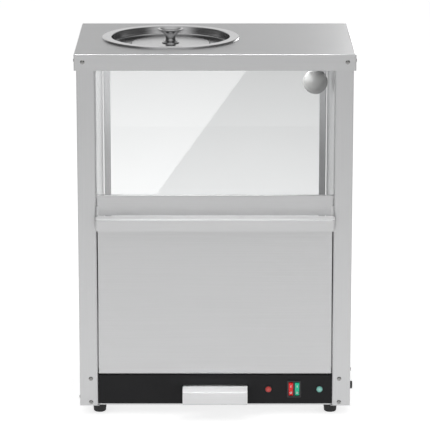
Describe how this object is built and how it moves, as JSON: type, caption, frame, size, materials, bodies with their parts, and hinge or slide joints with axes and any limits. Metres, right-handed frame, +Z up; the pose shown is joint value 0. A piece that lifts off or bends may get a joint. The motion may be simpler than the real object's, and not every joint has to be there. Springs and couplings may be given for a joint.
{
  "type": "chip warmer",
  "caption": "Countertop chip warmer cabinet with a glass front, a lidded fill port, a tilt-out serving door, a rear door and a crumb tray.",
  "frame": {"origin": "on the ground under the centre of the whole part's box", "axes": "+X to the viewer's right at the front, +Y to the back, +Z up"},
  "size_m": [0.4936, 0.3746, 0.6725],
  "materials": {
    "stainless_sheet": "satin, fine straight grain",
    "polished_stainless": "polished, faint turning marks",
    "stile_metal": "satin",
    "plated_steel": "bright plated",
    "black_fascia": "smooth, low gloss",
    "window_glass": "clear",
    "clear_acrylic": "clear",
    "black_plastic": "fine grain",
    "red_plastic": "glossy, translucent",
    "green_plastic": "glossy, translucent",
    "red_lens": "translucent",
    "green_lens": "translucent",
    "element_sheath": "oxidised steel sheath",
    "porcelain": "glazed ceramic",
    "lamp_glass": "frosted",
    "black_rubber": "matt"
  },
  "bodies": {
    "cabinet": {"left_side_shell": "stainless_sheet", "right_side_shell": "stainless_sheet", "top_cover": "stainless_sheet", "base_pan": "stainless_sheet", "front_rail": "stainless_sheet", "front_header": "stainless_sheet", "left_liner": "stainless_sheet", "right_liner": "stainless_sheet", "chip_deck": "stainless_sheet", "rear_base_panel": "stainless_sheet", "rear_header": "stainless_sheet", "tray_runners": "stainless_sheet", "heater_brackets": "stainless_sheet", "door_hinge_pin": "plated_steel", "rear_door_pivots": "plated_steel", "foot_studs": "plated_steel", "foot_nuts": "plated_steel", "cover_screws": "plated_steel", "post_screws": "plated_steel", "side_screws": "plated_steel", "inlet_blades": "plated_steel", "switch_housing": "black_plastic", "pilot_housings": "black_plastic", "fuse_holder": "black_plastic", "power_inlet": "black_plastic", "terminal_block": "black_plastic", "rear_door_catch": "black_plastic", "thermostat": "black_plastic", "thermal_cutout": "black_plastic", "fascia": "black_fascia", "front_glass": "window_glass", "heat_pilot_lens": "red_lens", "power_pilot_lens": "green_lens", "left_heater": "element_sheath", "right_heater": "element_sheath", "lamp_holder": "porcelain", "display_bulb": "lamp_glass", "feet": "black_rubber"},
    "serving_door": {"serving_door": "stainless_sheet", "door_cheeks": "stainless_sheet"},
    "rear_door": {"rear_hinge_stile": "stile_metal", "rear_latch_stile": "stile_metal", "rear_door_pane": "clear_acrylic", "rear_door_knob": "stile_metal", "rear_knob_screw": "plated_steel"},
    "lid": {"lid": "polished_stainless", "lid_knob": "polished_stainless", "lid_knob_screw": "plated_steel"},
    "crumb_tray": {"crumb_tray": "stainless_sheet"},
    "heat_rocker": {"heat_rocker": "red_plastic"},
    "light_rocker": {"light_rocker": "green_plastic"}
  },
  "joints": [
    {"name": "serving_door_tilt", "type": "hinge", "parent": "cabinet", "child": "serving_door", "pos_m": [0, -0.14565, 0.07975], "axis": [1, 0, 0], "range_deg": [0, 35]},
    {"name": "rear_door_swing", "type": "hinge", "parent": "cabinet", "child": "rear_door", "pos_m": [-0.2, 0.1613, 0.34], "axis": [0, 0, 1], "range_deg": [0, 105]},
    {"name": "lid_lift", "type": "slide", "parent": "cabinet", "child": "lid", "axis": [0, 0, 1], "range_m": [0, 0.12]},
    {"name": "crumb_tray_slide", "type": "slide", "parent": "cabinet", "child": "crumb_tray", "axis": [0, -1, 0], "range_m": [0, 0.29]},
    {"name": "heat_switch", "type": "hinge", "parent": "cabinet", "child": "heat_rocker", "pos_m": [0.1354, -0.1444, 0.0494], "axis": [1, 0, 0], "range_deg": [-14, 0]},
    {"name": "light_switch", "type": "hinge", "parent": "cabinet", "child": "light_rocker", "pos_m": [0.1465, -0.1444, 0.0494], "axis": [1, 0, 0], "range_deg": [-14, 0]}
  ]
}
